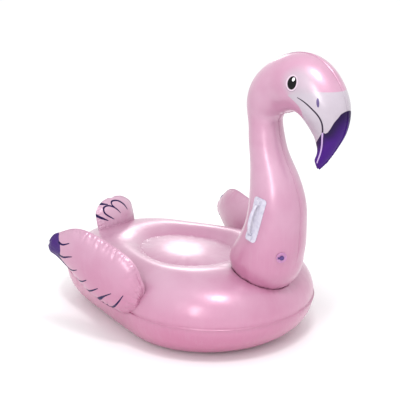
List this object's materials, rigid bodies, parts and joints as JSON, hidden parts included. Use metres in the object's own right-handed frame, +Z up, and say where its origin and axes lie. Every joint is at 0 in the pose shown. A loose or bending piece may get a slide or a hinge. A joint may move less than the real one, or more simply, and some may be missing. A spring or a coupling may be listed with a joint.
{
  "type": "inflatable pool float",
  "caption": "Flamingo-shaped ride-on inflatable pool float: tapered ring body with a domed seat, tall curved neck and head, side wings, fan tail and neck grips.",
  "frame": {"origin": "on the floor under the middle of the overall bounding box", "axes": "+X forwards towards the beak, +Y to the bird's left, +Z up"},
  "size_m": [1.5228, 1.1701, 1.2933],
  "materials": {
    "body_vinyl": "pearl gloss",
    "seat_vinyl": "pearl gloss",
    "neck_vinyl": "pearl gloss",
    "wing_vinyl": "pearl gloss",
    "tail_vinyl": "pearl gloss",
    "handle_vinyl": "satin",
    "valve_vinyl": "gloss",
    "valve_plug": "gloss"
  },
  "bodies": {
    "float": {"body_top_panel": "body_vinyl", "body_bottom_panel": "body_vinyl", "neck_socket_panel": "body_vinyl", "seat_top_panel": "seat_vinyl", "seat_bottom_panel": "seat_vinyl", "wing_left_root_hem": "wing_vinyl", "wing_right_root_hem": "wing_vinyl", "tail_root_hem": "tail_vinyl", "body_valve_flange": "valve_vinyl", "seat_valve_flange": "valve_vinyl"},
    "neck": {"neck_left_panel": "neck_vinyl", "neck_right_panel": "neck_vinyl", "neck_base_panel": "neck_vinyl", "neck_valve_flange": "valve_vinyl", "handle_left_patch": "handle_vinyl", "handle_right_patch": "handle_vinyl"},
    "wing_left": {"wing_left_outer_panel": "wing_vinyl", "wing_left_inner_panel": "wing_vinyl"},
    "wing_right": {"wing_right_outer_panel": "wing_vinyl", "wing_right_inner_panel": "wing_vinyl"},
    "tail": {"tail_front_panel": "tail_vinyl", "tail_rear_panel": "tail_vinyl"},
    "grip_left": {"handle_left_loop": "handle_vinyl"},
    "grip_right": {"handle_right_loop": "handle_vinyl"},
    "neck_inlet": {"neck_valve_stem": "valve_vinyl"},
    "neck_plug": {"neck_valve_plug": "valve_plug"},
    "neck_flap": {"neck_valve_flap": "valve_vinyl"},
    "body_inlet": {"body_valve_stem": "valve_vinyl"},
    "body_plug": {"body_valve_plug": "valve_plug"},
    "body_flap": {"body_valve_flap": "valve_vinyl"},
    "seat_inlet": {"seat_valve_stem": "valve_vinyl"},
    "seat_plug": {"seat_valve_plug": "valve_plug"},
    "seat_flap": {"seat_valve_flap": "valve_vinyl"}
  },
  "joints": [
    {"name": "neck_sway", "type": "hinge", "parent": "float", "child": "neck", "pos_m": [0.3786, 0, 0.412], "axis": [0, 1, 0], "range_deg": [-8, 8], "stiffness_Nm_per_rad": 25},
    {"name": "wing_left_flap", "type": "hinge", "parent": "float", "child": "wing_left", "pos_m": [0.0016, 0.391, 0.242], "axis": [-0.1007, -0.0638, -0.9929], "range_deg": [-3, 5], "stiffness_Nm_per_rad": 3},
    {"name": "wing_right_flap", "type": "hinge", "parent": "float", "child": "wing_right", "pos_m": [0.0016, -0.391, 0.242], "axis": [0.345, 0.0104, 0.9385], "range_deg": [-3, 5], "stiffness_Nm_per_rad": 3},
    {"name": "tail_flex", "type": "hinge", "parent": "float", "child": "tail", "pos_m": [-0.5564, 0, 0.325], "axis": [0, 1, 0], "range_deg": [-10, 10], "stiffness_Nm_per_rad": 2},
    {"name": "grip_left_swing", "type": "hinge", "parent": "neck", "child": "grip_left", "pos_m": [0.41324, 0.13306, 0.60848], "axis": [0.1764, -0.1242, 0.9764], "range_deg": [-35, 35], "stiffness_Nm_per_rad": 0.05},
    {"name": "grip_right_swing", "type": "hinge", "parent": "neck", "child": "grip_right", "pos_m": [0.41324, -0.13306, 0.60848], "axis": [0.1764, 0.1242, 0.9764], "range_deg": [-35, 35], "stiffness_Nm_per_rad": 0.05},
    {"name": "neck_inlet_pull", "type": "slide", "parent": "neck", "child": "neck_inlet", "axis": [0.8365, -0.5446, -0.0616], "range_m": [0, 0.014]},
    {"name": "neck_plug_pull", "type": "slide", "parent": "neck_inlet", "child": "neck_plug", "axis": [0.8365, -0.5446, -0.0616], "range_m": [0, 0.012]},
    {"name": "neck_flap_open", "type": "hinge", "parent": "neck_inlet", "child": "neck_flap", "pos_m": [0.50233, -0.07554, 0.45828], "axis": [0.0516, -0.0336, 0.9981], "range_deg": [0, 50], "stiffness_Nm_per_rad": 0.0005},
    {"name": "body_inlet_pull", "type": "slide", "parent": "float", "child": "body_inlet", "axis": [-0.2052, 0.6481, 0.7334], "range_m": [0, 0.014]},
    {"name": "body_plug_pull", "type": "slide", "parent": "body_inlet", "child": "body_plug", "axis": [-0.2052, 0.6481, 0.7334], "range_m": [0, 0.012]},
    {"name": "body_flap_open", "type": "hinge", "parent": "body_inlet", "child": "body_flap", "pos_m": [-0.41646, 0.27264, 0.28752], "axis": [0.2213, -0.6992, 0.6798], "range_deg": [0, 50], "stiffness_Nm_per_rad": 0.0005},
    {"name": "seat_inlet_pull", "type": "slide", "parent": "float", "child": "seat_inlet", "axis": [0, 0.0227, -0.9997], "range_m": [0, 0.014]},
    {"name": "seat_plug_pull", "type": "slide", "parent": "seat_inlet", "child": "seat_plug", "axis": [0, 0.0227, -0.9997], "range_m": [0, 0.012]},
    {"name": "seat_flap_open", "type": "hinge", "parent": "seat_inlet", "child": "seat_flap", "pos_m": [-0.1004, 0.05493, 0.0712], "axis": [1, 0, 0], "range_deg": [0, 50], "stiffness_Nm_per_rad": 0.0005}
  ]
}
